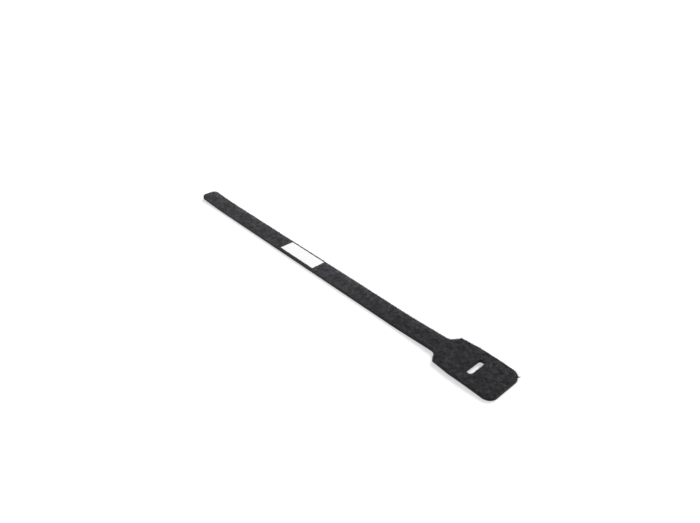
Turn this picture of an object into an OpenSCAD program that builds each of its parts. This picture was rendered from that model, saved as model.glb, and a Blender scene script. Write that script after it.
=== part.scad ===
// Hook-and-loop cable tie, 13 x 300 mm: a die-cut strap with a slotted head, and a writing label.
// The tie lies at rest with its pile side up, its tip towards -X and its head towards +X.
// The strap is flat in the middle, curls up a little at the tip and arches at the shoulders.

/* [Strap] */
// Overall length, from the tip to the head end
overall_l = 300; // [200:5:400]
// Width of the strap
strap_w = 13; // [10:0.5:16]
// Thickness through hooks, backing and pile
strap_t = 2.3; // [1.8:0.1:4]
// Radius of the tip's two corners
tip_r = 4; // [1:0.5:5]

/* [Hook rows] */
// Height of the hooks that stand out of the backing, on the underside
hook_h = 0.7; // [0.4:0.05:1.2]
// Height of the overhanging part of each hook
barb_h = 0.2; // [0.1:0.05:0.3]
// Width of each row over its overhangs
barb_w = 0.6; // [0.45:0.05:0.9]
// Width of each row at its stems
stem_w = 0.3; // [0.2:0.05:0.4]
// Distance between two rows
row_pitch = 1.4; // [1.1:0.05:2.4]

/* [Head] */
// Length of the head, from its shoulder corners to its end
head_l = 40; // [34:1:60]
// Width of the head past its flare
head_w = 27.6; // [24:0.2:36]
// Width of the head across its shoulder corners
shoulder_w = 25.4; // [22:0.2:34]
// Length over which the head flares from its shoulder corners to its full width
flare_l = 12; // [8:0.5:20]
// Radius of the bend where the flare ends
flare_r = 10; // [5:1:12]
// Radius of the head end's two corners
head_corner_r = 5.5; // [1:0.5:9]
// Lean of each shoulder away from square to the strap, in degrees
shoulder_lean = 30; // [0:1:40]
// Radius of the two shoulder corners
shoulder_r = 0.8; // [0.2:0.1:1.4]
// Radius of the hollow where the strap runs into each shoulder
neck_r = 5; // [1:0.5:6]

/* [Slot] */
// Gap of the slot, measured along the strap
slot_gap = 4.4; // [3.8:0.1:6]
// Play on each side of a strap that is passed through the slot
slot_play = 0.5; // [0.5:0.1:3]
// Distance from the middle of the slot to the head end
slot_from_end = 20.2; // [12:0.1:28]
// Radius of the slot's corners
slot_r = 1.8; // [0.3:0.1:1.8]

/* [Label] */
// Length of the writing label
label_l = 35.9; // [20:0.1:60]
// Bare pile between the label and each edge of the strap
label_border = 1.1; // [0.5:0.1:3]
// Distance from the tip to the label
label_from_tip = 109; // [60:0.5:150]
// Thickness of the label film
label_t = 0.2; // [0.1:0.05:0.5]
// Radius of the label's corners
label_r = 0.4; // [0.1:0.1:1.5]

/* [Lie] */
// Height of the underside where the strap arches, at the shoulders
arch_h = 1.1; // [0.4:0.1:3]
// Length over which the strap climbs to the arch
arch_run = 40; // [30:1:80]
// Height of the underside at the tip
tip_h = 1.2; // [0.2:0.1:2]
// Length over which the tip curls up
tip_run = 40; // [20:1:60]

/* [Hidden] */
$fn = 96;

// Places along X, with the origin under the middle of the tie
tip_x = -overall_l / 2;
end_x = overall_l / 2;
shoulder_x = end_x - head_l;
neck_x = shoulder_x - (shoulder_w - strap_w) / 2 * tan(shoulder_lean);
slot_x = end_x - slot_from_end;
label_x = tip_x + label_from_tip + label_l / 2;

// Sizes that follow from the strap
slot_l = strap_w + 2 * slot_play;
label_w = strap_w - 2 * label_border;

// How far the stems of the hooks run up into the backing
stem_root = 0.2;
// How far a cutting form runs past what it cuts
spare = 1;
// Straight steps in each curved stretch of the lie
lie_steps = 8;

// Height of the underside at x: a parabola at the tip, flat in the middle, a wave up to the
// arch, and a gentle dome down to the floor at the head end
function lift(x) =
    x < tip_x + tip_run ? tip_h * pow((tip_x + tip_run - x) / tip_run, 2)
    : x < shoulder_x - arch_run ? 0
    : x < shoulder_x ? arch_h * (1 - cos(180 * (x - shoulder_x + arch_run) / arch_run)) / 2
    : arch_h * cos(90 * pow((x - shoulder_x) / head_l, 2));

// The places along X where the lie is worked out
function steps(from, length) = [for (i = [0 : lie_steps]) from + length * i / lie_steps];
lie_xs = concat(
    steps(tip_x, tip_run),
    steps(shoulder_x - arch_run, arch_run),
    [for (x = steps(shoulder_x, head_l)) if (x > shoulder_x) x]
);

// A line that follows the lie at a height over the underside and runs past both ends
function lie_line(height) = concat(
    [[tip_x - spare, lift(tip_x) + height]],
    [for (x = lie_xs) [x, lift(x) + height]],
    [[end_x + spare, lift(end_x) + height]]
);

function reversed(list) = [for (i = [len(list) - 1 : -1 : 0]) list[i]];

// A band across the whole tie that follows the lie between two heights over the underside
module lie_band(low, high) {
    rotate([90, 0, 0])
        linear_extrude(height = head_w + shoulder_w, center = true)
            polygon(concat(lie_line(low), reversed(lie_line(high))));
}

// Corner i of a loop of [x, y, radius] corners that is walked anticlockwise
function place(loop, i) = [loop[i][0], loop[i][1]];
function unit(v) = v / norm(v);
function back(loop, i) = unit(place(loop, (i + len(loop) - 1) % len(loop)) - place(loop, i));
function ahead(loop, i) = unit(place(loop, (i + 1) % len(loop)) - place(loop, i));
function half_angle(loop, i) = acos(back(loop, i) * ahead(loop, i)) / 2;
function turns_left(loop, i) = cross(-back(loop, i), ahead(loop, i)) > 0;

// The arc of corner i: where it leaves each side, and its centre
function tangent(loop, i) = loop[i][2] / tan(half_angle(loop, i));
function arc_from(loop, i) = place(loop, i) + back(loop, i) * tangent(loop, i);
function arc_to(loop, i) = place(loop, i) + ahead(loop, i) * tangent(loop, i);
function arc_centre(loop, i) =
    place(loop, i)
    + unit(back(loop, i) + ahead(loop, i)) * loop[i][2] / sin(half_angle(loop, i));

// The disc that rounds corner i
module corner_disc(loop, i) {
    translate(arc_centre(loop, i))
        circle(r = loop[i][2]);
}

// A flat shape with true arcs: discs fill the outward corners and are cut from the inward ones
module rounded_shape(loop) {
    last = len(loop) - 1;
    difference() {
        union() {
            polygon([for (i = [0 : last]) each [arc_from(loop, i), arc_to(loop, i)]]);
            for (i = [0 : last])
                if (turns_left(loop, i))
                    corner_disc(loop, i);
        }
        for (i = [0 : last])
            if (!turns_left(loop, i))
                corner_disc(loop, i);
    }
}

// Corners along the -Y side, and the same corners mirrored and walked back along the +Y side
function both_sides(side) = concat(side, [for (c = reversed(side)) [c[0], -c[1], c[2]]]);

// Corners of a rectangle centred on the tie's axis
function box_loop(x, length, width, radius) = both_sides([
    [x - length / 2, -width / 2, radius],
    [x + length / 2, -width / 2, radius]
]);

strap_loop = both_sides([
    [tip_x, -strap_w / 2, tip_r],
    [neck_x, -strap_w / 2, neck_r],
    [shoulder_x, -shoulder_w / 2, shoulder_r],
    [shoulder_x + flare_l, -head_w / 2, flare_r],
    [end_x, -head_w / 2, head_corner_r]
]);
slot_loop = box_loop(slot_x, slot_gap, slot_l, slot_r);
label_loop = box_loop(label_x, label_l, label_w, label_r);

// The head's half width where it is widest: past its flare, or at the arc of its shoulder
widest_half = max(head_w / 2, shoulder_r - arc_centre(strap_loop, 2)[1]);
// Rows of hooks beside the middle one: the outermost still has its whole stem on the head
rows_each_side = floor((widest_half - stem_w / 2) / row_pitch);

// A flat shape run straight up through the whole height of the tie
module upright() {
    translate([0, 0, -spare])
        linear_extrude(height = arch_h + tip_h + strap_t + label_t + 2 * spare)
            children();
}

// The outline that the die cuts through pile, backing and hooks alike
module die_cut() {
    difference() {
        rounded_shape(strap_loop);
        rounded_shape(slot_loop);
    }
}

// Strips along the strap, one for each row of hooks, with the middle row on the axis
module row_strips(width) {
    for (i = [-rows_each_side : rows_each_side])
        translate([0, i * row_pitch])
            square([overall_l + 2 * spare, width], center = true);
}

// One layer of the laminate: the 2D shape between two heights over the underside
module layer(low, high) {
    intersection() {
        lie_band(low, high);
        upright() children();
    }
}

// The laminated strap and its head, die-cut in one piece
module strap() {
    color("#403f41") {
        layer(hook_h, strap_t) die_cut();
        layer(0, hook_h + stem_root)
            intersection() {
                die_cut();
                row_strips(stem_w);
            }
        layer(0, barb_h)
            intersection() {
                die_cut();
                row_strips(barb_w);
            }
    }
}

// The white film bonded onto the pile
module writing_label() {
    color("#f7f7f5")
        layer(strap_t, strap_t + label_t) rounded_shape(label_loop);
}

strap();
writing_label();
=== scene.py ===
"""Looks of a hook-and-loop cable tie: napped pile, cut edge, hook rows and writing label.

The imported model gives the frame. The tie lies with its pile side up, its tip towards -X and its
head towards +X. Lengths are millimetres until a mesh is made, and metres in Blender.
"""

from __future__ import annotations

import logging
import math
from dataclasses import dataclass
from enum import Enum

import bpy
import numpy as np
from mathutils import Matrix, Vector


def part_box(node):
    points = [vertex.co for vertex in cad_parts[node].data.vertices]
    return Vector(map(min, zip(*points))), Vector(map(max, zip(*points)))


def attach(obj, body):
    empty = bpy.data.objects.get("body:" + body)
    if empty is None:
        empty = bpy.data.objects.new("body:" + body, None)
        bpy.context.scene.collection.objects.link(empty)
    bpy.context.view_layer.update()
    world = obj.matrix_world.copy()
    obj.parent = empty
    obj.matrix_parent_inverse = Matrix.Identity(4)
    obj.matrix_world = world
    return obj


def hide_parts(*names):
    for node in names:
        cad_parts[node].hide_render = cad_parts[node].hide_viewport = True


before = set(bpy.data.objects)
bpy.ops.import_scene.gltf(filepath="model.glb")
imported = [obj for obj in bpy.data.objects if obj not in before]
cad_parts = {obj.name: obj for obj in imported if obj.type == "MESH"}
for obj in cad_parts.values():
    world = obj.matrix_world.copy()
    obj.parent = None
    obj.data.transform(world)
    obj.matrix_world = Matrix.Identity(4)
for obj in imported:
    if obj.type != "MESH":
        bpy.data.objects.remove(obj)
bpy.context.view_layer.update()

LOG = logging.getLogger("cable_tie")
MM = 0.001
# A length too small to matter
HAIR = 1e-6
# How many places are measured against the rim at once
BLOCK = 4000
# How strongly a grid's cells crowd towards the edge, where 1 is evenly
CROWDING = 1.35

Colour = tuple[float, float, float]
# The least and the most of an even draw
Draw = tuple[float, float]
# Where a rise starts, and how long it is
Rise = tuple[float, float]
# Rings of a shell's wall from the top down: share of the height, and push outwards
Rings = tuple[tuple[float, float], ...]


class Layer(Enum):
    """The visible layers of the laminate, by their place in the strap's list of finishes."""

    PILE = 0
    CUT_EDGE = 1
    HOOK_FILM = 2


# Noise, paths and meshes


@dataclass(frozen=True)
class Noise:
    """Smooth seeded noise over the plane."""

    cell: float
    seed: int
    size: int = 256

    def at(self, x: np.ndarray, y: np.ndarray) -> np.ndarray:
        """Reads the noise.

        Random values stand on a square lattice of the cell's size. Between them the value is
        blended with the weight t * t * (3 - 2 * t) along each axis.

        Args:
            x: Places along X.
            y: Places along Y.

        Returns:
            Values from -1 to 1, in the shape of x.
        """
        lattice = np.random.default_rng(self.seed).uniform(-1.0, 1.0, (self.size, self.size))
        u, v = x / self.cell, y / self.cell
        i, j = np.floor(u).astype(int), np.floor(v).astype(int)
        s, t = u - i, v - j
        s, t = s * s * (3.0 - 2.0 * s), t * t * (3.0 - 2.0 * t)
        i0, i1 = i % self.size, (i + 1) % self.size
        j0, j1 = j % self.size, (j + 1) % self.size
        near = lattice[i0, j0] * (1.0 - s) + lattice[i1, j0] * s
        far = lattice[i0, j1] * (1.0 - s) + lattice[i1, j1] * s
        return near * (1.0 - t) + far * t


def tufts(x: np.ndarray, y: np.ndarray) -> np.ndarray:
    """How strongly the pile clumps at each place.

    Three noises are added: tufts of 2.4 mm and of 1.4 mm, and fine ones of 0.9 mm that come in
    steadily from the middle of the tie to the head, where the nap is rougher.

    Args:
        x: Places along X.
        y: Places along Y.

    Returns:
        Values around zero, in the shape of x.
    """
    rough = np.clip((x + 40.0) / 150.0, 0.0, 1.0)
    broad = 0.8 * Noise(2.4, 11).at(x, y) + (0.75 - 0.2 * rough) * Noise(1.4, 12).at(x, y)
    return broad + 0.9 * rough * Noise(0.9, 13).at(x, y)


def eased(value: np.ndarray, rise: Rise) -> np.ndarray:
    """Eases from 0 to 1 over a rise by t * t * (3 - 2 * t), and is level before and after it.

    Args:
        value: Places along the rise's axis.
        rise: Where the rise starts, and how long it is.

    Returns:
        Shares from 0 to 1, in the shape of value.
    """
    start, run = rise
    t = np.clip((value - start) / run, 0.0, 1.0)
    return t * t * (3.0 - 2.0 * t)


def rounded_path(points: np.ndarray, radii: np.ndarray, step: float) -> np.ndarray:
    """Samples an open path whose inner corners are rounded.

    Each corner becomes an arc tangent to both of its sides. The arc leaves a side at
    radius * tan(turn / 2) from the corner, and turns evenly from one direction to the other. Its
    samples lie at 0.6 of the step, and there are at least six.

    Args:
        points: The path's ends and corners, one row of x and y each.
        radii: The arc's radius at each inner corner.
        step: About how far apart the samples lie.

    Returns:
        The samples, one row of x and y each.
    """
    runs = [points[:1]]
    here = points[0]
    for before, corner, after, radius in zip(points, points[1:], points[2:], radii):
        way_in = (corner - before) / np.linalg.norm(corner - before)
        way_out = (after - corner) / np.linalg.norm(after - corner)
        turn = math.atan2(way_in[0] * way_out[1] - way_in[1] * way_out[0], way_in @ way_out)
        leave = corner - way_in * radius * math.tan(abs(turn) / 2.0)
        runs.append(straight_run(here, leave, step))
        count = max(6, math.ceil(radius * abs(turn) / (step * 0.6)))
        angles = turn * np.arange(1, count + 1) / count
        side = math.copysign(1.0, turn)
        left = np.array([-way_in[1], way_in[0]]) * side
        centre = leave + left * radius
        spread = np.abs(angles)[:, None]
        runs.append(centre + radius * (np.sin(spread) * way_in - np.cos(spread) * left))
        here = runs[-1][-1]
    runs.append(straight_run(here, points[-1], step))
    return np.concatenate(runs)


def straight_run(start: np.ndarray, end: np.ndarray, step: float) -> np.ndarray:
    """Samples a straight run, without its start.

    Args:
        start: Where the run starts.
        end: Where the run ends.
        step: About how far apart the samples lie.

    Returns:
        The samples, one row of x and y each.
    """
    count = max(1, math.ceil(float(np.linalg.norm(end - start)) / step))
    shares = np.arange(1, count + 1)[:, None] / count
    return start + (end - start) * shares


def turned(ways: np.ndarray, angles: np.ndarray) -> np.ndarray:
    """Turns flat unit directions anticlockwise, each by its own angle in radians."""
    left = np.stack([-ways[:, 1], ways[:, 0]], 1)
    return ways * np.cos(angles)[:, None] + left * np.sin(angles)[:, None]


def mesh_object(name: str, points: np.ndarray, polygons: list[np.ndarray],
                finishes: list[bpy.types.Material], layers: np.ndarray | None = None,
                **shades: np.ndarray) -> bpy.types.Object:
    """Makes a mesh object in the row frame.

    Args:
        name: The piece's name.
        points: Vertices in millimetres, one row each.
        polygons: Arrays of vertex numbers, one row for each polygon, anticlockwise from outside.
        finishes: The piece's materials.
        layers: The material number of each polygon, or None where there is one material.
        shades: Values for each vertex, kept as attributes under their own names.

    Returns:
        The object, linked to the scene and at the origin.
    """
    mesh = bpy.data.meshes.new(name)
    corners = np.concatenate([rows.ravel() for rows in polygons]).astype(np.int32)
    sides = np.concatenate([np.full(len(rows), rows.shape[1]) for rows in polygons]).astype(np.int32)
    mesh.vertices.add(len(points))
    mesh.vertices.foreach_set("co", (points * MM).astype(np.float32).ravel())
    mesh.loops.add(len(corners))
    mesh.loops.foreach_set("vertex_index", corners)
    mesh.polygons.add(len(sides))
    mesh.polygons.foreach_set("loop_start", (np.cumsum(sides) - sides).astype(np.int32))
    mesh.polygons.foreach_set("loop_total", sides)
    mesh.polygons.foreach_set("use_smooth", np.ones(len(sides), bool))
    if layers is not None:
        mesh.polygons.foreach_set("material_index", layers.astype(np.int32))
    for name_of, values in shades.items():
        values = np.asarray(values, np.float32)
        mesh.attributes.new(name_of, "FLOAT", "POINT").data.foreach_set("value", values)
    for finish in finishes:
        mesh.materials.append(finish)
    mesh.update(calc_edges=True)
    mesh.validate()
    piece = bpy.data.objects.new(name, mesh)
    bpy.context.scene.collection.objects.link(piece)
    LOG.info("%s: %d polygons", name, len(sides))
    return piece


def sweep(paths: np.ndarray, radii: np.ndarray, sides: int, across: np.ndarray
          ) -> tuple[np.ndarray, list[np.ndarray]]:
    """Sweeps a small regular section along many paths at once.

    At each point of a path, two unit vectors stand square to the path's direction, the first as
    near as it can be to the path's own across vector. The section's corners lie on a circle in
    their plane.

    Args:
        paths: Points of the paths, as (paths, points, 3).
        radii: Radius at each point, as (paths, points).
        sides: Corners of the section.
        across: One vector for each path, not along it.

    Returns:
        The vertices and the polygons of all the closed tubes.
    """
    count, length, _ = paths.shape
    along = np.gradient(paths, axis=1)
    along /= np.linalg.norm(along, axis=2, keepdims=True)
    second = np.cross(along, across[:, None, :])
    second /= np.linalg.norm(second, axis=2, keepdims=True)
    first = np.cross(second, along)
    angles = 2.0 * math.pi * np.arange(sides) / sides
    ring = (np.cos(angles)[:, None] * first[:, :, None, :]
            + np.sin(angles)[:, None] * second[:, :, None, :])
    points = paths[:, :, None, :] + radii[:, :, None, None] * ring
    numbers = np.arange(count * length * sides).reshape(count, length, sides)
    onward = np.roll(numbers, -1, axis=2)
    walls = np.stack([numbers[:, :-1], onward[:, :-1], onward[:, 1:], numbers[:, 1:]], axis=-1)
    caps = np.concatenate([numbers[:, 0, ::-1], numbers[:, -1, :]])
    return points.reshape(-1, 3), [walls.reshape(-1, 4), caps]


# The tie's form


@dataclass(frozen=True)
class PileToneWithPaintedLight:
    """How light the pile is: painted shade towards the head, painted light and a painted sheen at the
    +Y edge, and random clumps.

    The rises of the widening and of the head start from the shoulder corners.
    """

    # Painted shade: the pile darkens towards the head, between the label and the shoulders.
    head_painted_shade: float = 0.44
    painted_shade_rise: Rise = (-8.0, 100.0)
    widening: Rise = (-12.0, 14.0)
    near_side: float = 0.95
    # Painted light: the pile lightens towards the +Y edge, which faces the key light, and by less on
    # the head.
    lean: float = 0.28
    head_painted_light: float = 0.08
    painted_light_rise: Rise = (-1.0, 7.0)
    # Painted sheen: a light band along the +Y edge, stronger past the label.
    painted_sheen: float = 0.10
    late_painted_sheen: float = 0.20
    late: Rise = (-60.0, 80.0)
    painted_sheen_rise: Rise = (2.5, 4.0)
    clouds: float = 0.18
    cloud_fade: float = 0.6
    cloud_cell: float = 6.0
    flecks: float = 0.30
    fleck_cell: float = 0.8
    patches: float = 0.10
    past_label: Rise = (-10.0, 60.0)
    head: Rise = (-15.0, 20.0)

    def at(self, points: np.ndarray, shoulder_x: float) -> np.ndarray:
        """Works out the tone at each point.

        Along the tie a painted shade darkens the pile between the label and the shoulders, towards the
        head.
        Across the strap painted light lightens it towards the +Y edge, which faces the key light, and
        by less on the head. A painted sheen lies along that edge and is stronger past the label. Over
        that lie broad clouds, which fade past the label, where fine flecks and patches of the tufts
        come in.

        Args:
            points: Points, one row each.
            shoulder_x: Place of the shoulder corners.

        Returns:
            One factor for the colour for each point.
        """
        x, y = points[:, 0], points[:, 1]
        from_shoulder = x - shoulder_x
        # Painted shade, darker towards the head.
        along = 1.0 - self.head_painted_shade * eased(x, self.painted_shade_rise)
        narrow = 1.0 - eased(from_shoulder, self.widening)
        # Painted light, lighter towards the +Y edge that faces the key.
        lean = (self.head_painted_light + self.lean * narrow) * eased(y, self.painted_light_rise)
        # Painted sheen along the +Y edge.
        painted_sheen = self.painted_sheen + self.late_painted_sheen * eased(x, self.late)
        painted_sheen = painted_sheen * narrow * eased(y, self.painted_sheen_rise)
        past_label = eased(x, self.past_label)
        fine = past_label + eased(from_shoulder, self.head)
        clouds = self.clouds * (1.0 - self.cloud_fade * past_label)
        mottle = clouds * Noise(self.cloud_cell, 14).at(x, y)
        mottle += self.flecks * fine * Noise(self.fleck_cell, 15).at(x, y)
        mottle += self.patches * past_label * tufts(x, y)
        return along * (1.0 + mottle) * (self.near_side + lean + painted_sheen)


@dataclass(frozen=True)
class TieForm:
    """The die-cut outline and the lie of the tie, as its solids have them."""

    strap_w: float = 13.0
    tip_r: float = 4.0
    head_l: float = 40.0
    head_w: float = 27.6
    shoulder_w: float = 25.4
    flare_l: float = 12.0
    flare_r: float = 10.0
    head_corner_r: float = 5.5
    shoulder_lean: float = 30.0
    shoulder_r: float = 0.8
    neck_r: float = 5.0
    slot_gap: float = 4.4
    slot_play: float = 0.5
    slot_from_end: float = 20.2
    slot_r: float = 1.8
    arch_h: float = 1.1
    arch_run: float = 40.0
    tip_h: float = 1.2
    tip_run: float = 40.0
    tip_x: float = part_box("strap")[0].x / MM
    end_x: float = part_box("strap")[1].x / MM

    @property
    def shoulder_x(self) -> float:
        """Place of the shoulder corners."""
        return self.end_x - self.head_l

    @property
    def neck_x(self) -> float:
        """Place where the strap's edge and the shoulder's line would meet."""
        rise = (self.shoulder_w - self.strap_w) / 2.0
        return self.shoulder_x - rise * math.tan(math.radians(self.shoulder_lean))

    @property
    def slot_x(self) -> float:
        """Middle of the slot."""
        return self.end_x - self.slot_from_end

    @property
    def slot_span(self) -> tuple[float, float]:
        """Places of the slot's two long sides."""
        return self.slot_x - self.slot_gap / 2.0, self.slot_x + self.slot_gap / 2.0

    @property
    def slot_l(self) -> float:
        """Length of the slot, across the head."""
        return self.strap_w + 2.0 * self.slot_play

    def lift(self, x: np.ndarray) -> np.ndarray:
        """Height of the underside.

        A parabola at the tip, flat in the middle, half a cosine wave up to the arch at the
        shoulders, and a dome down to the head end: the cosine of a quarter turn times the square
        of the way along the head.

        Args:
            x: Places along X.

        Returns:
            Heights over the floor.
        """
        curl = np.clip((self.tip_x + self.tip_run - x) / self.tip_run, 0.0, 1.0)
        climb = np.clip((x - self.shoulder_x + self.arch_run) / self.arch_run, 0.0, 1.0)
        fall = np.clip((x - self.shoulder_x) / self.head_l, 0.0, 1.0)
        wave = (1.0 - np.cos(math.pi * climb)) / 2.0
        return self.tip_h * curl ** 2 + self.arch_h * wave * np.cos(math.pi / 2.0 * fall ** 2)

    def edge(self, step: float) -> np.ndarray:
        """The outline on the +Y side, from the tip's middle to the head end's middle.

        Args:
            step: About how far apart the samples lie.

        Returns:
            The samples, one row of x and y each.
        """
        corners = np.array([
            [self.tip_x, 0.0],
            [self.tip_x, self.strap_w / 2.0],
            [self.neck_x, self.strap_w / 2.0],
            [self.shoulder_x, self.shoulder_w / 2.0],
            [self.shoulder_x + self.flare_l, self.head_w / 2.0],
            [self.end_x, self.head_w / 2.0],
            [self.end_x, 0.0],
        ])
        radii = np.array([self.tip_r, self.neck_r, self.shoulder_r, self.flare_r, self.head_corner_r])
        return rounded_path(corners, radii, step)

    def nap(self, points: np.ndarray) -> np.ndarray:
        """The pile's tone at each point, with painted shade and painted light in it."""
        return PileToneWithPaintedLight().at(points, self.shoulder_x)

    def half_width(self, x: np.ndarray) -> np.ndarray:
        """Distance from the axis to the outline.

        Args:
            x: Places along X.

        Returns:
            Distances, in the shape of x.
        """
        path = self.edge(0.05)
        keep = np.concatenate([[True], np.diff(path[:, 0]) > HAIR])
        keep[: int(np.argmax(path[:, 0] > self.tip_x + HAIR)) - 1] = False
        return np.interp(x, path[keep, 0], path[keep, 1])

    def slot_half(self, x: np.ndarray) -> np.ndarray:
        """Half the slot's length between its two long sides.

        The corners are arcs: the half length is that of the straight part plus
        sqrt(r^2 - (r - d)^2), where d is the distance to the nearer long side, up to r.

        Args:
            x: Places along X.

        Returns:
            Half lengths, in the shape of x.
        """
        d = np.clip(self.slot_gap / 2.0 - np.abs(x - self.slot_x), 0.0, self.slot_r)
        reach = np.sqrt(np.maximum(self.slot_r ** 2 - (self.slot_r - d) ** 2, 0.0))
        return self.slot_l / 2.0 - self.slot_r + reach

    def rim(self, step: float) -> tuple[np.ndarray, np.ndarray]:
        """Walks the whole outline and the slot.

        The direction out of the tie is square to the run from one sample to the next but one.

        Args:
            step: About how far apart the samples lie.

        Returns:
            Samples of the edges, and the unit direction out of the tie at each.
        """
        before, after = self.slot_span
        half_l = self.slot_l / 2.0
        around = np.array([[after, 0.0], [after, half_l], [before, half_l], [before, 0.0]])
        slot = rounded_path(around, np.array([self.slot_r, self.slot_r]), step)
        sides = [self.edge(step), slot]
        run = np.concatenate([np.gradient(side, axis=0) for side in sides])
        run /= np.linalg.norm(run, axis=1, keepdims=True)
        out = np.stack([-run[:, 1], run[:, 0]], 1)
        spots = np.concatenate(sides)
        mirror = np.array([1.0, -1.0])
        return np.concatenate([spots, spots * mirror]), np.concatenate([out, out * mirror])

    def depth(self, x: np.ndarray, y: np.ndarray) -> np.ndarray:
        """Distance from places on the tie to the nearest edge.

        The nearest of the rim's samples is found in blocks to spare memory, and the distance is
        measured square to the rim there. Places outside the outline or in the slot get a
        distance below zero.

        Args:
            x: Places along X.
            y: Places along Y.

        Returns:
            Distances, in the shape of x.
        """
        rim, out = self.rim(0.25)
        flat_x, flat_y = x.ravel(), y.ravel()
        nearest = np.empty(len(flat_x))
        for start in range(0, len(flat_x), BLOCK):
            part = slice(start, start + BLOCK)
            away = (flat_x[part, None] - rim[:, 0]) ** 2 + (flat_y[part, None] - rim[:, 1]) ** 2
            best = away.argmin(axis=1)
            gap = np.stack([flat_x[part], flat_y[part]], 1) - rim[best]
            nearest[part] = np.abs((gap * out[best]).sum(axis=1))
        beyond = np.abs(flat_y) > self.half_width(flat_x)
        beyond |= (flat_x < self.tip_x) | (flat_x > self.end_x)
        in_gap = np.abs(flat_x - self.slot_x) < self.slot_gap / 2.0
        beyond |= in_gap & (np.abs(flat_y) < self.slot_half(flat_x))
        return np.where(beyond, -nearest, nearest).reshape(x.shape)

    def kept(self, x: np.ndarray, y: np.ndarray, margin: float) -> np.ndarray:
        """Keeps the places that lie on the tie, at least a margin inside its edges.

        Args:
            x: Places along X.
            y: Places along Y.
            margin: The least distance to an edge.

        Returns:
            The kept places, one row of x and y each.
        """
        x, y = x.ravel(), y.ravel()
        rough = (np.abs(y) < self.half_width(x)) & (x < self.end_x)
        spots = np.stack([x[rough], y[rough]], 1)
        return spots[self.depth(*spots.T) > margin]

    def paths(self, roots: np.ndarray, way: np.ndarray, ahead: np.ndarray, sideways: np.ndarray,
              above: np.ndarray) -> np.ndarray:
        """Lays paths from their roots, at heights over the underside.

        Args:
            roots: Roots as rows of x and y.
            way: Unit direction of each path.
            ahead: How far each point lies along the path's direction, as (paths, points).
            sideways: How far it lies to the left of that, in the same shape.
            above: Its height over the underside there, in the same shape.

        Returns:
            The points, as (paths, points, 3).
        """
        left = np.stack([-way[:, 1], way[:, 0]], 1)
        flat = roots[:, None] + ahead[..., None] * way[:, None] + sideways[..., None] * left[:, None]
        height = self.lift(flat[..., 0]) + above
        return np.concatenate([flat, height[..., None]], axis=2)


@dataclass(frozen=True)
class LabelForm:
    """The writing label's place and size, read from its solid."""

    low: tuple[float, float, float] = tuple(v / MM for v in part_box("writing_label")[0])
    high: tuple[float, float, float] = tuple(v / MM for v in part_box("writing_label")[1])
    corner_r: float = 0.4
    swell_reach: float = 0.9

    def inset(self, x: np.ndarray, y: np.ndarray) -> np.ndarray:
        """How far places lie inside the label's sides, below zero outside them.

        Args:
            x: Places along X.
            y: Places along Y.

        Returns:
            Distances, in the shape of x.
        """
        along = np.minimum(x - self.low[0], self.high[0] - x)
        across = np.minimum(y - self.low[1], self.high[1] - y)
        return np.minimum(along, across)

    def beside(self, inset: np.ndarray) -> np.ndarray:
        """The pile's swell beside the label, from 0 to 1: exp(-(inset / reach)^2) outside it."""
        return np.exp(-(np.minimum(inset, 0.0) / self.swell_reach) ** 2)


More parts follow.
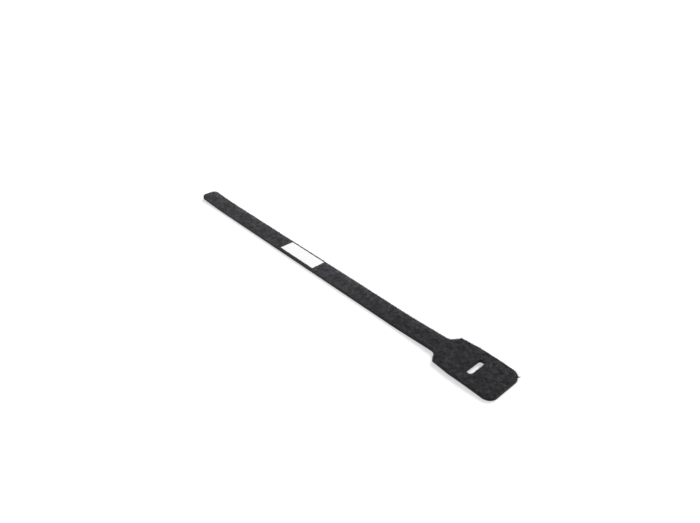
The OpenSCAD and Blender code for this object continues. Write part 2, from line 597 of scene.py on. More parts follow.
@dataclass(frozen=True)
class Grid:
    """A quad grid over a flat outline that is symmetric about the X axis."""

    x: np.ndarray
    y: np.ndarray
    quads: np.ndarray

    @staticmethod
    def over(columns: np.ndarray, half: np.ndarray, split: np.ndarray, outer: int, inner: int,
             gap: tuple[float, float] | None = None) -> "Grid":
        """Lays a grid of columns over an outline.

        Each column crosses the outline at one x. It has three stretches, split at plus and minus
        the split: two outer ones with their cells closer together towards the edge, and an inner
        one. Inner cells between the gap's two places are left out, which leaves a slot.

        Args:
            columns: Places of the columns along X, rising.
            half: Half the outline's width at each column.
            split: Where each column is split.
            outer: Cells in each outer stretch.
            inner: Cells in the inner stretch.
            gap: Where the slot starts and ends along X, or None.

        Returns:
            The grid, with the places that no cell uses taken out.
        """
        share = (np.arange(outer + 1) / outer) ** CROWDING
        low = -half[:, None] + (half - split)[:, None] * share
        mid = split[:, None] * (2.0 * np.arange(inner + 1) / inner - 1.0)
        y = np.concatenate([low, mid[:, 1:-1], -low[:, ::-1]], axis=1)
        x = np.repeat(columns[:, None], y.shape[1], axis=1)
        numbers = np.arange(x.size).reshape(x.shape)
        quads = np.stack([numbers[:-1, :-1], numbers[1:, :-1], numbers[1:, 1:], numbers[:-1, 1:]], -1)
        keep = np.ones(quads.shape[:2], bool)
        if gap is not None:
            middle = (columns[:-1] + columns[1:]) / 2.0
            inside = (middle > gap[0]) & (middle < gap[1])
            keep[np.ix_(inside, np.arange(outer, outer + inner))] = False
        quads = quads[keep]
        used, renumbered = np.unique(quads, return_inverse=True)
        return Grid(x.ravel()[used], y.ravel()[used], renumbered.reshape(-1, 4))

    def rim_edges(self) -> np.ndarray:
        """Finds the grid's open edges: those that no neighbour walks the other way.

        Returns:
            Rows of two place numbers, with the grid on the left.
        """
        edges = np.concatenate([self.quads[:, [k, (k + 1) % 4]] for k in range(4)])
        count = len(self.x)
        codes = edges[:, 0] * count + edges[:, 1]
        back = edges[:, 1] * count + edges[:, 0]
        return edges[~np.isin(codes, back)]

    def shell(self, top: np.ndarray, under: np.ndarray, rings: Rings
              ) -> tuple[np.ndarray, list[np.ndarray]]:
        """Closes the grid into a shell with a top, an underside and a wall.

        The wall stands on the grid's open edges. Each of its rings lies at a share of the height
        from the underside to the top, and is pushed out along the edge's own outward direction.

        Args:
            top: Height of the top at each place.
            under: Height of the underside at each place.
            rings: Share of the height and outward push of each ring, from the top down.

        Returns:
            The vertices, and the polygons as [top, underside, one array for each wall strip].
        """
        edges = self.rim_edges()
        run = np.stack([self.x[edges[:, 1]] - self.x[edges[:, 0]],
                        self.y[edges[:, 1]] - self.y[edges[:, 0]]], axis=1)
        outward = np.zeros((len(self.x), 2))
        for end in (0, 1):
            np.add.at(outward, edges[:, end], np.stack([run[:, 1], -run[:, 0]], axis=1))
        on_rim = np.unique(edges)
        push = outward[on_rim] / np.linalg.norm(outward[on_rim], axis=1, keepdims=True)
        count = len(self.x)
        points = [np.stack([self.x, self.y, top], 1), np.stack([self.x, self.y, under], 1)]
        upper = edges
        strips = []
        place = np.full(count, -1)
        place[on_rim] = np.arange(len(on_rim))
        for number, (share, out) in enumerate(rings):
            height = under[on_rim] + (top - under)[on_rim] * share
            spot = np.stack([self.x[on_rim], self.y[on_rim]], 1) + push * out
            points.append(np.column_stack([spot, height]))
            lower = 2 * count + number * len(on_rim) + place[edges]
            strips.append(np.column_stack([upper[:, 1], upper[:, 0], lower[:, 0], lower[:, 1]]))
            upper = lower
        lower = edges + count
        strips.append(np.column_stack([upper[:, 1], upper[:, 0], lower[:, 0], lower[:, 1]]))
        return np.concatenate(points), [self.quads, self.quads[:, ::-1] + count, *strips]


# Finishes


def fill(node: bpy.types.Node, **values: float | list[float] | tuple[float, ...]
         ) -> bpy.types.Node:
    """Sets a node's inputs.

    Args:
        node: The node.
        values: The values, by the inputs' names with an underscore for each space.

    Returns:
        The same node.
    """
    for name, value in values.items():
        node.inputs[name.replace("_", " ")].default_value = value
    return node


class Shader:
    """Adds and links the nodes of one material."""

    def __init__(self, name: str) -> None:
        """Starts a material with an output and a Principled shader.

        Args:
            name: The material's name.
        """
        self.material = bpy.data.materials.new(name)
        self.material.use_nodes = True
        self.tree = self.material.node_tree
        self.tree.nodes.clear()
        self.output = self.add("OutputMaterial")
        self.surface = self.add("BsdfPrincipled")
        self.link(self.surface, "BSDF", self.output, "Surface")
        self.coordinates = self.add("TexCoord")
        self.relief: bpy.types.Node | None = None

    def add(self, kind: str, **values: float | list[float]) -> bpy.types.Node:
        """Adds a node, by its type's name after "ShaderNode", and sets its inputs as fill does."""
        return fill(self.tree.nodes.new("ShaderNode" + kind), **values)

    def set(self, **values: float | tuple[float, ...]) -> None:
        """Sets inputs of the Principled shader as fill does."""
        fill(self.surface, **values)

    def link(self, source: bpy.types.Node, output: str | int, target: bpy.types.Node,
             socket: str | int) -> None:
        """Links an output of the source to a socket of the target."""
        self.tree.links.new(source.outputs[output], target.inputs[socket])

    def noise(self, cell_mm: float, detail: float, stretch: tuple[float, float, float] = (1, 1, 1)
              ) -> bpy.types.Node:
        """Adds noise on Object coordinates.

        Args:
            cell_mm: Size of the noise's largest features.
            detail: Number of finer octaves.
            stretch: How many times longer the features are along each axis.

        Returns:
            The noise node, whose Fac output runs from 0 to 1.
        """
        mapping = self.add("Mapping", Scale=[1.0 / (cell_mm * MM * s) for s in stretch])
        self.link(self.coordinates, "Object", mapping, "Vector")
        noise = self.add("TexNoise", Scale=1.0, Detail=detail)
        self.link(mapping, "Vector", noise, "Vector")
        return noise

    def attribute(self, name: str) -> bpy.types.Node:
        """Reads one of the piece's own attributes.

        Args:
            name: The attribute's name.

        Returns:
            The node, whose Fac output is the attribute's value.
        """
        node = self.add("Attribute")
        node.attribute_name = name
        return node

    def ramp(self, source: bpy.types.Node, dark: tuple[float, Colour], light: tuple[float, Colour]
             ) -> bpy.types.Node:
        """Turns a value into a colour between two.

        Args:
            source: The node whose Fac output is the value.
            dark: The value up to which the dark colour holds, and that colour.
            light: The value from which the light colour holds, and that colour.

        Returns:
            The ramp node.
        """
        ramp = self.add("ValToRGB")
        for element, (place, colour) in zip(ramp.color_ramp.elements, (dark, light)):
            element.position = place
            element.color = (*colour, 1.0)
        self.link(source, "Fac", ramp, "Fac")
        return ramp

    def with_tone_and_painted_light(self, colour: bpy.types.Node) -> None:
        """Scales a colour by the piece's nap attribute, which holds painted shade and painted light
        besides the pile's tone, and makes it the base colour.

        Args:
            colour: The node whose Color output is scaled.
        """
        scaled = self.add("VectorMath")
        scaled.operation = "SCALE"
        self.link(colour, "Color", scaled, 0)
        # The nap attribute holds painted shade and painted light over the pile's random tone.
        self.link(self.attribute("nap"), "Fac", scaled, "Scale")
        self.link(scaled, "Vector", self.surface, "Base Color")

    def roughen(self, source: bpy.types.Node, low: float, high: float) -> None:
        """Lets a value set the roughness.

        Args:
            source: The node whose Fac output is the value, from 0 to 1.
            low: Roughness at 0.
            high: Roughness at 1.
        """
        spread = self.add("MapRange", To_Min=low, To_Max=high)
        self.link(source, "Fac", spread, "Value")
        self.link(spread, "Result", self.surface, "Roughness")

    def bump(self, source: bpy.types.Node, height_mm: float, strength: float) -> None:
        """Bumps the surface, on top of the bumps that it has already.

        Args:
            source: The node whose Fac output is the height.
            height_mm: Height of the bump.
            strength: Its strength from 0 to 1.
        """
        bump = self.add("Bump", Distance=height_mm * MM, Strength=strength)
        self.link(source, "Fac", bump, "Height")
        if self.relief is not None:
            self.link(self.relief, "Normal", bump, "Normal")
        self.link(bump, "Normal", self.surface, "Normal")
        self.relief = bump


@dataclass(frozen=True)
class PileFinish:
    """The knitted ground under the loops: dull black nylon, mottled darker and lighter at random."""

    dark: Colour = (0.024, 0.023, 0.026)
    light: Colour = (0.075, 0.072, 0.082)

    def material(self) -> bpy.types.Material:
        """Makes the finish: mottling, a knit bump under a tufted one, and a fabric's sheen.

        Returns:
            The material.
        """
        shader = Shader("pile_ground")
        mottle = shader.noise(cell_mm=2.6, detail=3.0)
        # Its colour takes the nap's painted shade and painted light.
        shader.with_tone_and_painted_light(shader.ramp(mottle, dark=(0.30, self.dark), light=(0.72, self.light)))
        shader.bump(shader.noise(cell_mm=0.35, detail=2.0), height_mm=0.10, strength=0.8)
        shader.bump(shader.noise(cell_mm=1.1, detail=3.0), height_mm=0.25, strength=0.6)
        shader.set(Roughness=0.95, Sheen_Weight=0.22, Sheen_Roughness=0.45, Specular_IOR_Level=0.2)
        return shader.material


@dataclass(frozen=True)
class LoopFinish:
    """The nylon loops of the pile: each loop has its own tone."""

    dark: Colour = (0.018, 0.017, 0.019)
    light: Colour = (0.138, 0.131, 0.151)

    def material(self) -> bpy.types.Material:
        """Makes the finish: the loop's tone sets its colour, and soft noise its roughness.

        Returns:
            The material.
        """
        shader = Shader("pile_loops")
        tone = shader.attribute("tone")
        # Its colour takes the nap's painted shade and painted light.
        shader.with_tone_and_painted_light(shader.ramp(tone, dark=(0.05, self.dark), light=(0.95, self.light)))
        shader.roughen(shader.noise(cell_mm=0.8, detail=1.0), low=0.55, high=0.85)
        shader.set(Sheen_Weight=0.20, Sheen_Roughness=0.40, Specular_IOR_Level=0.3)
        return shader.material


@dataclass(frozen=True)
class CutEdgeFinish:
    """The die-cut edge: crushed fibre ends of pile and backing."""

    dark: Colour = (0.014, 0.014, 0.015)
    light: Colour = (0.060, 0.057, 0.057)

    def material(self) -> bpy.types.Material:
        """Makes the finish: upright streaks of fibre ends over flat layers of the laminate.

        Returns:
            The material.
        """
        shader = Shader("cut_edge")
        streaks = shader.noise(cell_mm=0.22, detail=3.0, stretch=(1.0, 1.0, 4.0))
        # Its colour takes the nap's painted shade and painted light.
        shader.with_tone_and_painted_light(shader.ramp(streaks, dark=(0.32, self.dark), light=(0.70, self.light)))
        shader.bump(streaks, height_mm=0.12, strength=0.8)
        layers = shader.noise(cell_mm=0.25, detail=1.0, stretch=(30.0, 30.0, 1.0))
        shader.bump(layers, height_mm=0.10, strength=0.5)
        shader.set(Roughness=0.9, Sheen_Weight=0.2, Sheen_Roughness=0.5, Specular_IOR_Level=0.25)
        return shader.material


@dataclass(frozen=True)
class HookFinish:
    """The moulded hooks and their film: satin black plastic."""

    dark: Colour = (0.016, 0.016, 0.018)
    light: Colour = (0.036, 0.036, 0.040)

    def material(self) -> bpy.types.Material:
        """Makes the finish: faint cloudy tone, satin gloss and a moulded grain.

        Returns:
            The material.
        """
        shader = Shader("hook_plastic")
        cloud = shader.noise(cell_mm=2.5, detail=3.0)
        ramp = shader.ramp(cloud, dark=(0.3, self.dark), light=(0.7, self.light))
        shader.link(ramp, "Color", shader.surface, "Base Color")
        shader.roughen(cloud, low=0.34, high=0.52)
        shader.bump(shader.noise(cell_mm=0.18, detail=2.0), height_mm=0.02, strength=0.6)
        shader.set(Specular_IOR_Level=0.5)
        return shader.material


@dataclass(frozen=True)
class LabelFinish:
    """The writing label: smooth matt white film."""

    white: Colour = (0.900, 0.900, 0.895)
    shade: Colour = (0.860, 0.860, 0.858)

    def material(self) -> bpy.types.Material:
        """Makes the finish: barely clouded white, with the pile printing through as soft relief.

        Returns:
            The material.
        """
        shader = Shader("label_film")
        cloud = shader.noise(cell_mm=2.2, detail=3.0)
        ramp = shader.ramp(cloud, dark=(0.25, self.shade), light=(0.55, self.white))
        shader.link(ramp, "Color", shader.surface, "Base Color")
        shader.bump(shader.noise(cell_mm=0.10, detail=1.0), height_mm=0.006, strength=0.5)
        shader.bump(shader.noise(cell_mm=0.9, detail=2.0), height_mm=0.05, strength=0.35)
        shader.set(Roughness=0.5, Specular_IOR_Level=0.45)
        return shader.material


# The pieces


def settle(piece: bpy.types.Object) -> bpy.types.Object:
    """Rides a piece on the tie's one body.

    Args:
        piece: The finished piece.

    Returns:
        The same piece.
    """
    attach(piece, "root")
    return piece


@dataclass
class StrapLaminate:
    """The die-cut band: pile ground on top, cut edge round it and hook film below."""

    form: TieForm
    label: LabelForm
    step: float = 0.55
    outer_cells: int = 16
    inner_cells: int = 12
    corner_columns: int = 6
    ground: float = 2.14
    relief: float = 0.15
    pressed: float = 2.24
    swell: float = 0.34
    fall: float = 0.06
    fall_reach: float = 0.25
    film: float = 0.7
    lip: float = 0.64
    lip_reach: float = 0.35
    rings: Rings = ((0.95, 0.14), (0.80, 0.22), (0.62, 0.22), (0.40, 0.24), (0.20, 0.26),
                    (0.16, 0.32), (0.04, 0.30))

    def columns(self) -> np.ndarray:
        """Places the grid's columns: the outline's own samples and the slot's.

        Returns:
            Places along X, rising.
        """
        form = self.form
        path = form.edge(self.step)
        path = path[(path[:, 0] > form.tip_x + HAIR) & (path[:, 0] < form.end_x - HAIR)]
        angles = np.linspace(0.0, math.pi / 2.0, self.corner_columns)
        turn = (1.0 - np.cos(angles)) * form.slot_r
        start, end = form.slot_span
        slot = np.concatenate([start + turn, [form.slot_x], end - turn])
        clear = np.abs(path[:, 0] - form.slot_x) > form.slot_gap / 2.0 + self.step / 2.0
        ends = [form.tip_x, form.end_x]
        return np.unique(np.concatenate([path[clear, 0], slot, ends]).round(6))

    def grid(self) -> Grid:
        """Lays the laminate's grid, whose inner stretch follows the slot's ends.

        Returns:
            The grid, open at the slot.
        """
        form = self.form
        columns = self.columns()
        half = form.half_width(columns)
        start, end = form.slot_span
        flat = form.slot_l / 2.0 - form.slot_r
        at_start, at_end = form.half_width(np.array([start, end]))
        split = np.where(columns < start, flat * half / at_start, flat * half / at_end)
        inside = (columns >= start - HAIR) & (columns <= end + HAIR)
        split[inside] = form.slot_half(columns[inside])
        return Grid.over(columns, half, split, self.outer_cells, self.inner_cells, (start, end))

    def surface(self, grid: Grid) -> np.ndarray:
        """Height of the pile ground over the underside.

        The ground rises and falls with the tufts. It is pressed flat under the label and swells
        beside it. It falls away at a cut edge by a square law, as a nap does.

        Args:
            grid: The laminate's grid.

        Returns:
            The height at each of the grid's places.
        """
        inset = self.label.inset(grid.x, grid.y)
        under_label = np.clip(inset / 0.3 + 0.2, 0.0, 1.0)
        beside = self.swell * self.label.beside(inset)
        bare = self.ground + beside + self.relief * tufts(grid.x, grid.y)
        height = bare * (1.0 - under_label) + self.pressed * under_label
        near = np.clip(1.0 - self.form.depth(grid.x, grid.y) / self.fall_reach, 0.0, 1.0)
        return height - self.fall * near ** 2

    def underside(self, grid: Grid) -> np.ndarray:
        """Height of the hook film, which the die bends down to a lip by a power law at each edge."""
        near = np.clip(1.0 - self.form.depth(grid.x, grid.y) / self.lip_reach, 0.0, 1.0)
        return self.film - self.lip * near ** 1.5

    def build(self, finishes: list[bpy.types.Material]) -> bpy.types.Object:
        """Makes the laminate as one closed shell.

        Args:
            finishes: The materials, in the order of Layer.

        Returns:
            The piece, riding on the frame in place of the strap's solid.
        """
        grid = self.grid()
        lift = self.form.lift(grid.x)
        top, under = lift + self.surface(grid), lift + self.underside(grid)
        points, polygons = grid.shell(top, under, self.rings)
        wall = [Layer.PILE] * 2 + [Layer.CUT_EDGE] * 3 + [Layer.HOOK_FILM] * 3
        kinds = [Layer.PILE, Layer.HOOK_FILM, *wall]
        layers = np.concatenate([np.full(len(rows), kind.value) for rows, kind in zip(polygons, kinds)])
        # The nap attribute carries painted shade and painted light, as well as the pile's tone.
        piece = mesh_object("strap_laminate", points, polygons, finishes, layers,
                            nap=self.form.nap(points))
        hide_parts("strap")
        return settle(piece)


@dataclass
class PileLoops:
    """The loops that stand on the pile ground and tangle into a nap."""

    form: TieForm
    label: LabelForm
    seed: int = 31
    per_mm2: float = 4.9
    points: int = 6
    sides: int = 3
    root: float = 2.02
    wire: float = 0.047
    parts: int = 4
    long_share: float = 0.12
    edge_margin: float = -0.06
    label_gap: float = 0.12
    long_span: Draw = (0.9, 1.7)
    short_span: Draw = (0.35, 0.80)
    long_rise: Draw = (0.28, 0.40)
    short_rise: Draw = (0.28, 0.52)
    tuft_rise: float = 0.12
    swell_rise: float = 0.30
    overhang: float = 0.45
    foot: float = 0.25
    tone: float = 0.42
    tuft_tone: float = 0.60

    def places(self, rng: np.random.Generator) -> np.ndarray:
        """Scatters the loops' middles: one in each cell of a jittered lattice, off the label.

        Args:
            rng: The random draws.

        Returns:
            Places as rows of x and y, in order along X.
        """
        form = self.form
        cell = 1.0 / math.sqrt(self.per_mm2)
        x, y = np.meshgrid(np.arange(form.tip_x, form.end_x, cell),
                           np.arange(-form.head_w / 2.0, form.head_w / 2.0, cell), indexing="ij")
        x = x + rng.uniform(0.0, cell, x.shape)
        y = y + rng.uniform(0.0, cell, y.shape)
        spots = form.kept(x, y, self.edge_margin)
        spots = spots[self.label.inset(*spots.T) < -self.label_gap]
        return spots[np.argsort(spots[:, 0])]

    def build(self, finish: bpy.types.Material) -> list[bpy.types.Object]:
        """Makes the loops, in parts along the strap.

        A loop's middle line runs along its heading by its span, rises by its height times
        sin(pi t) ^ 0.7, and sways sideways by sin(pi t) and sin(2 pi t) terms. Its feet sink
        into the ground. One in eight lies low and long, as a pulled fibre does. Loops on a tuft
        are lighter and stand higher, and those beside the label stand higher too.

        Args:
            finish: The loops' material.

        Returns:
            The pieces.
        """
        rng = np.random.default_rng(self.seed)
        spots = self.places(rng)
        count = len(spots)
        long_one = rng.random(count) < self.long_share
        span = np.where(long_one, rng.uniform(*self.long_span, count),
                        rng.uniform(*self.short_span, count))
        clump = tufts(*spots.T)
        clear = -self.label.inset(*spots.T)
        beside = self.label.beside(-clear)
        rise = np.where(long_one, rng.uniform(*self.long_rise, count),
                        rng.uniform(*self.short_rise, count))
        rise = rise + self.tuft_rise * clump + self.swell_rise * beside
        heading = rng.uniform(0.0, 2.0 * math.pi, count)
        depth = self.form.depth(*spots.T)
        reach = np.minimum(span, 2.0 * np.minimum(depth + self.overhang, clear + 0.05))
        t = np.linspace(0.0, 1.0, self.points)
        arch = np.sin(math.pi * t)
        way = np.stack([np.cos(heading), np.sin(heading)], 1)
        lean = rng.normal(0.0, 0.16, count)
        curl = rng.normal(0.0, 0.10, count)
        sway = lean[:, None] * arch + curl[:, None] * np.sin(2.0 * math.pi * t)
        above = self.root + rise[:, None] * arch ** 0.7 - self.foot * (arch < 0.01)
        paths = self.form.paths(spots, way, (t - 0.5) * reach[:, None], sway, above)
        tilt = rng.uniform(0.3, 0.9, count)
        across = np.column_stack([-way[:, 1], way[:, 0], tilt])
        wire = self.wire * rng.uniform(0.75, 1.25, (count, 1)) * np.ones(self.points)
        tone = self.tone + 0.05 * rng.standard_normal(count) + self.tuft_tone * clump
        pieces = []
        for number, part in enumerate(np.array_split(np.arange(count), self.parts), start=1):
            points, polygons = sweep(paths[part], wire[part], self.sides, across[part])
            tones = np.repeat(np.clip(tone[part], 0.0, 1.0), self.points * self.sides)
            # The nap attribute carries painted shade and painted light, as well as the pile's tone.
            piece = mesh_object(f"pile_loops_{number}", points, polygons, [finish], tone=tones,
                                nap=self.form.nap(points))
            pieces.append(settle(piece))
        return pieces


@dataclass
class EdgeFuzz:
    """What stands out of the cut edge: splayed loops, loose fibre ends and a frayed bunch."""

    form: TieForm
    sides: int = 3
    wire: float = 0.040
    loop_seed: int = 59
    loop_points: int = 6
    loop_spacing: float = 0.45
    loop_reach: Draw = (0.30, 0.75)
    loop_spread: Draw = (0.25, 0.60)
    loop_start: float = -0.12
    fibre_seed: int = 47
    fibre_points: int = 5
    fibre_spacing: float = 0.55
    fibre_length: Draw = (0.15, 0.60)
    fibre_start: float = -0.15
    frayed: int = 18
    frayed_arc: Draw = (0.45, 0.80)
    frayed_length: Draw = (1.1, 2.2)
    frayed_wire: float = 0.070

    def thread(self, name: str, paths: np.ndarray, wire: np.ndarray, rng: np.random.Generator,
               finish: bpy.types.Material) -> bpy.types.Object:
        """Makes threads of one tone each along their paths.

        Args:
            name: The piece's name.
            paths: Points of the paths, as (paths, points, 3).
            wire: Radius at each point, as (paths, points).
            rng: The random draws.
            finish: The threads' material.

        Returns:
            The piece.
        """
        across = np.tile([0.1, 0.05, 1.0], (len(paths), 1))
        points, polygons = sweep(paths, wire, self.sides, across)
        tones = np.repeat(rng.uniform(0.2, 0.9, len(paths)), paths.shape[1] * self.sides)
        # The nap attribute carries painted shade and painted light, as well as the pile's tone.
        piece = mesh_object(name, points, polygons, [finish], tone=tones,
                            nap=self.form.nap(points))
        return settle(piece)

    def loops(self, finish: bpy.types.Material) -> bpy.types.Object:
        """Makes the loops that splay out over the edge.

        A loop starts and ends just inside the edge. It stands out by its reach times sin(pi t)
        and rises by its tilt times sin(pi t). Along the edge it runs by its spread times
        (t - 0.5) * (0.4 + 1.2 sin(pi t)), so it is narrower at its foot.

        Args:
            finish: The loops' material.

        Returns:
            The piece.
        """
        rng = np.random.default_rng(self.loop_seed)
        roots, out = self.form.rim(self.loop_spacing)
        count = len(roots)
        roots = roots + rng.normal(0.0, 0.10, roots.shape)
        way = turned(out, rng.normal(0.0, 0.5, count))
        reach = rng.uniform(*self.loop_reach, count)[:, None]
        spread = rng.uniform(*self.loop_spread, count)[:, None]
        base = rng.uniform(1.75, 2.25, count)[:, None]
        tilt = rng.normal(0.20, 0.15, count)[:, None]
        t = np.linspace(0.0, 1.0, self.loop_points)
        arch = np.sin(math.pi * t)
        sideways = spread * (t - 0.5) * (0.4 + 1.2 * arch)
        ahead = reach * arch + self.loop_start
        paths = self.form.paths(roots, way, ahead, sideways, base + tilt * arch)
        wire = self.wire * rng.uniform(0.75, 1.15, (count, 1)) * np.ones(self.loop_points)
        return self.thread("edge_loops", paths, wire, rng, finish)

    def fibres(self, finish: bpy.types.Material) -> bpy.types.Object:
        """Makes the loose ends, with a frayed bunch of long ones at the head's far corner.

        Each one starts just inside the edge and runs outwards. It lifts or droops, and curls
        sideways, by the square of the way along it. The bunch starts on the corner's arc, between
        two angles in radians from +X.

        Args:
            finish: The fibres' material.

        Returns:
            The piece.
        """
        rng = np.random.default_rng(self.fibre_seed)
        form = self.form
        roots, out = form.rim(self.fibre_spacing)
        around = rng.uniform(*self.frayed_arc, self.frayed)
        bunch = np.stack([np.cos(around), np.sin(around)], 1)
        corner = np.array([form.end_x, form.head_w / 2.0]) + form.head_corner_r * (bunch - 1.0)
        roots, out = np.concatenate([roots, corner]), np.concatenate([out, bunch])
        count = len(roots)
        tuft = np.arange(count) >= count - self.frayed
        length = np.where(tuft, rng.uniform(*self.frayed_length, count),
                          rng.uniform(*self.fibre_length, count))[:, None]
        roots = roots + rng.normal(0.0, 0.12, roots.shape)
        way = turned(out, rng.normal(0.0, 0.55, count) * np.where(tuft, 0.5, 1.0))
        base = rng.uniform(1.2, 2.3, count)[:, None]
        bend = rng.normal(0.1, 0.30, count)[:, None]
        curl = rng.normal(0.0, 0.45, count)[:, None]
        t = np.linspace(0.0, 1.0, self.fibre_points)
        ahead = t * length + self.fibre_start
        curve = length * t ** 2
        paths = form.paths(roots, way, ahead, curl * curve, base + bend * curve)
        wire = np.where(tuft, self.frayed_wire, self.wire)[:, None] * (0.8 - 0.4 * t)
        return self.thread("edge_fibres", paths, wire, rng, finish)


@dataclass
class HookRows:
    """The moulded hooks of the underside, in rows along the strap."""

    form: TieForm
    seed: int = 53
    row_pitch: float = 1.4
    spacing: float = 1.05
    length: float = 0.45
    film: float = 0.72
    margin: float = 0.42

    def profile(self) -> np.ndarray:
        """Outline of one hook seen along its row, from the film down one side and up the other.

        A stem that narrows downwards carries an arm on each side, and each arm's end turns back
        up towards the film.

        Returns:
            Corners as rows of y and height over the underside.
        """
        side = np.array([[0.17, self.film], [0.11, 0.35], [0.20, 0.19], [0.28, 0.29], [0.33, 0.16],
                         [0.22, 0.03]])
        middle = np.array([[0.0, 0.0]])
        return np.concatenate([side, middle, side[::-1] * [-1.0, 1.0]])

    def places(self) -> np.ndarray:
        """Places the hooks: every row is staggered by half a spacing against the next.

        Returns:
            The hooks' middles, one row of x and y each.
        """
        form = self.form
        rows = math.floor(form.head_w / 2.0 / self.row_pitch)
        row = np.arange(-rows, rows + 1)
        x, number = np.meshgrid(np.arange(form.tip_x, form.end_x, self.spacing), row, indexing="ij")
        return form.kept(x + (number % 2) * self.spacing / 2.0, number * self.row_pitch, self.margin)

    def build(self, finish: bpy.types.Material) -> bpy.types.Object:
        """Makes the hooks: the profile is carried along X by each hook's length.

        Args:
            finish: The hooks' material.

        Returns:
            The piece.
        """
        rng = np.random.default_rng(self.seed)
        spots = self.places()
        shape = self.profile()
        count, corners = len(spots), len(shape)
        lean = rng.normal(0.0, 0.03, (count, 1))
        drop = (self.film - shape[:, 1]) / self.film
        x = spots[:, :1] + np.array([-0.5, 0.5]) * self.length
        y = spots[:, 1:] + shape[:, 0] + lean * drop
        z = shape[:, 1] + np.zeros((count, 1))
        ends = [np.stack([np.repeat(x[:, k:k + 1], corners, 1), y, z], -1) for k in (0, 1)]
        points = np.stack(ends, axis=1)
        points[..., 2] += self.form.lift(points[..., 0])
        numbers = np.arange(count * 2 * corners).reshape(count, 2, corners)
        onward = np.roll(numbers, -1, axis=2)
        walls = np.stack([numbers[:, 0], numbers[:, 1], onward[:, 1], onward[:, 0]], -1).reshape(-1, 4)
        caps = np.concatenate([numbers[:, 0], numbers[:, 1, ::-1]])
        piece = mesh_object("hook_rows", points.reshape(-1, 3), [walls, caps], [finish])
        return settle(piece)


@dataclass
class WritingLabel:
    """The white film bonded onto the pile."""

    form: TieForm
    label: LabelForm
    cell: float = 0.45
    cells_across: int = 26
    press: float = 0.06
    dip: float = 0.08
    dip_reach: float = 0.6
    pile_relief: float = 0.025
    wave_relief: float = 0.020
    bed: float = 0.12
    rings: Rings = ((0.75, 0.03), (0.4, 0.03))

    def build(self, finish: bpy.types.Material) -> bpy.types.Object:
        """Makes the label as one closed film.

        The film is level in the middle and dips by a square law at its sides, where it is pressed
        into the pile. A soft noise of 1.6 mm lets the pile show through as slight relief, over
        waves of 5 mm. Its underside lies a little way down in the pile.

        Args:
            finish: The film's material.

        Returns:
            The piece, riding on the frame in place of the label's solid.
        """
        low, high, radius = self.label.low, self.label.high, self.label.corner_r
        half_w = high[1]
        corners = np.array([[low[0], 0.0], [low[0], half_w], [high[0], half_w], [high[0], 0.0]])
        path = rounded_path(corners, np.array([radius, radius]), self.cell)
        inner = (path[:, 0] > low[0] + HAIR) & (path[:, 0] < high[0] - HAIR)
        columns = np.concatenate([[low[0]], path[inner, 0], [high[0]]])
        half = np.concatenate([[half_w - radius], path[inner, 1], [half_w - radius]])
        outer = self.cells_across // 4
        grid = Grid.over(columns, half, half / 2.0, outer, self.cells_across - 2 * outer)
        near = np.clip(1.0 - self.label.inset(grid.x, grid.y) / self.dip_reach, 0.0, 1.0)
        relief = self.pile_relief * Noise(1.6, 21).at(grid.x, grid.y)
        relief += self.wave_relief * Noise(5.0, 22).at(grid.x, grid.y)
        top = high[2] - self.press + relief * (1.0 - near) - self.dip * near ** 2
        under = np.full_like(top, low[2] - self.bed)
        points, polygons = grid.shell(top, under, self.rings)
        piece = mesh_object("writing_label_film", points, polygons, [finish])
        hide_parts("writing_label")
        return settle(piece)


# The studio


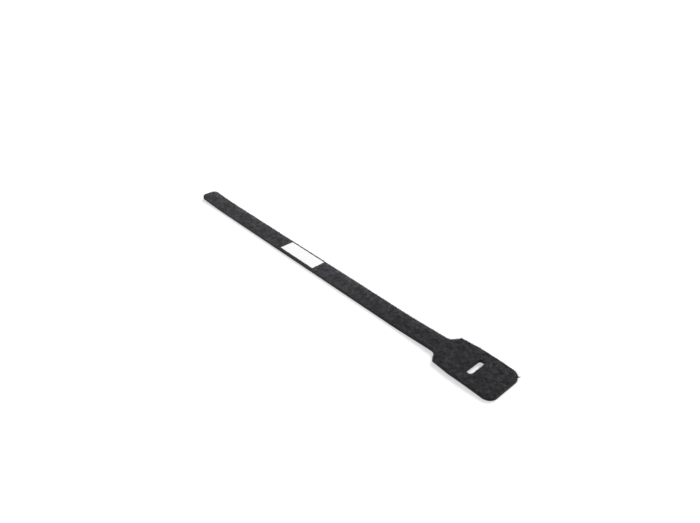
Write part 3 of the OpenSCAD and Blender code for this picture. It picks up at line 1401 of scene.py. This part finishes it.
@dataclass(frozen=True)
class Studio:
    """A white floor, plain soft light and the photograph's camera."""

    camera_at: tuple[float, float, float] = (0.25706, -0.20662, 0.22562)
    azimuth: float = 47.99
    elevation: float = 33.47
    focal_px: float = 582.7
    frame_px: float = 700.0
    sensor_mm: float = 36.0
    floor_half: float = 4.0
    key_from: tuple[float, float, float] = (-0.17, 0.85, 1.0)
    key_angle: float = 30.0
    key_strength: float = 2.35
    sky: float = 0.52
    floor_grey: float = 0.55
    floor_glow: float = 0.52

    def build(self) -> None:
        """Builds the floor, the lights, the world and the camera."""
        self.floor()
        self.key()
        self.world()
        self.camera()

    def floor(self) -> None:
        """Lays the floor: matt white that keeps shadows, lifted to plain white for the camera."""
        h = self.floor_half
        mesh = bpy.data.meshes.new("floor")
        mesh.from_pydata([(-h, -h, 0), (h, -h, 0), (h, h, 0), (-h, h, 0)], [], [(0, 1, 2, 3)])
        floor = bpy.data.objects.new("floor", mesh)
        bpy.context.scene.collection.objects.link(floor)
        shader = Shader("floor_white")
        shader.set(Base_Color=(self.floor_grey,) * 3 + (1.0,), Roughness=1.0, Specular_IOR_Level=0.0)
        glow = shader.add("Emission")
        self.seen_by_camera(shader, glow.inputs["Strength"], self.floor_glow)
        both = shader.add("AddShader")
        shader.link(shader.surface, "BSDF", both, 0)
        shader.link(glow, "Emission", both, 1)
        shader.link(both, "Shader", shader.output, "Surface")
        mesh.materials.append(shader.material)

    @staticmethod
    def seen_by_camera(shader: Shader, socket: bpy.types.NodeSocket, strength: float) -> None:
        """Feeds a strength to a socket for camera, glossy and transmission rays alone.

        Args:
            shader: The shader whose nodes are used.
            socket: The socket that takes the strength.
            strength: The strength for those rays.
        """
        rays = shader.add("LightPath")
        most = rays.outputs["Is Camera Ray"]
        for name in ("Is Glossy Ray", "Is Transmission Ray"):
            either = shader.add("Math")
            either.operation = "MAXIMUM"
            shader.tree.links.new(most, either.inputs[0])
            shader.tree.links.new(rays.outputs[name], either.inputs[1])
            most = either.outputs[0]
        scaled = shader.add("Math")
        scaled.operation = "MULTIPLY"
        scaled.inputs[1].default_value = strength
        shader.tree.links.new(most, scaled.inputs[0])
        shader.tree.links.new(scaled.outputs[0], socket)

    def key(self) -> None:
        """Shines the soft key light from beyond the tie's far side."""
        lamp = bpy.data.lights.new("key", "SUN")
        lamp.angle = math.radians(self.key_angle)
        lamp.energy = self.key_strength
        key = bpy.data.objects.new("key", lamp)
        key.matrix_world = Vector(self.key_from).to_track_quat("Z", "Y").to_matrix().to_4x4()
        bpy.context.scene.collection.objects.link(key)

    def world(self) -> None:
        """Surrounds the tie with even light that the camera sees as white."""
        world = bpy.data.worlds.new("studio")
        world.use_nodes = True
        nodes, links = world.node_tree.nodes, world.node_tree.links
        backdrop = nodes["Background"]
        backdrop.inputs["Color"].default_value = (1.0, 1.0, 1.0, 1.0)
        rays = nodes.new("ShaderNodeLightPath")
        strength = nodes.new("ShaderNodeMapRange")
        strength.inputs["To Min"].default_value = self.sky
        strength.inputs["To Max"].default_value = 1.0
        links.new(rays.outputs["Is Camera Ray"], strength.inputs["Value"])
        links.new(strength.outputs["Result"], backdrop.inputs["Strength"])
        bpy.context.scene.world = world

    def camera(self) -> None:
        """Sets the camera at the photograph's viewpoint, which was fitted to the tie's edges."""
        a, e = math.radians(self.azimuth), math.radians(self.elevation)
        right = Vector((math.cos(a), math.sin(a), 0.0))
        back = Vector((math.sin(a) * math.cos(e), -math.cos(a) * math.cos(e), math.sin(e)))
        up = back.cross(right)
        turn = Matrix((right, up, back)).transposed().to_4x4()
        lens = bpy.data.cameras.new("photo")
        lens.sensor_width = self.sensor_mm
        lens.lens = self.focal_px / self.frame_px * self.sensor_mm
        lens.clip_start = 0.01
        camera = bpy.data.objects.new("photo", lens)
        camera.matrix_world = Matrix.Translation(Vector(self.camera_at)) @ turn
        bpy.context.scene.collection.objects.link(camera)
        bpy.context.scene.camera = camera


def main() -> None:
    """Builds the studio and every piece of the tie, in order."""
    logging.basicConfig(level=logging.INFO, format="%(name)s: %(message)s")
    view = bpy.context.scene.view_settings
    view.view_transform = "Standard"
    Studio().build()
    form, label = TieForm(), LabelForm()
    pile, edge, hook = PileFinish().material(), CutEdgeFinish().material(), HookFinish().material()
    loops = LoopFinish().material()
    StrapLaminate(form, label).build([pile, edge, hook])
    PileLoops(form, label).build(loops)
    fuzz = EdgeFuzz(form)
    fuzz.loops(loops)
    fuzz.fibres(loops)
    HookRows(form).build(hook)
    WritingLabel(form, label).build(LabelFinish().material())


if __name__ == "__main__":
    main()
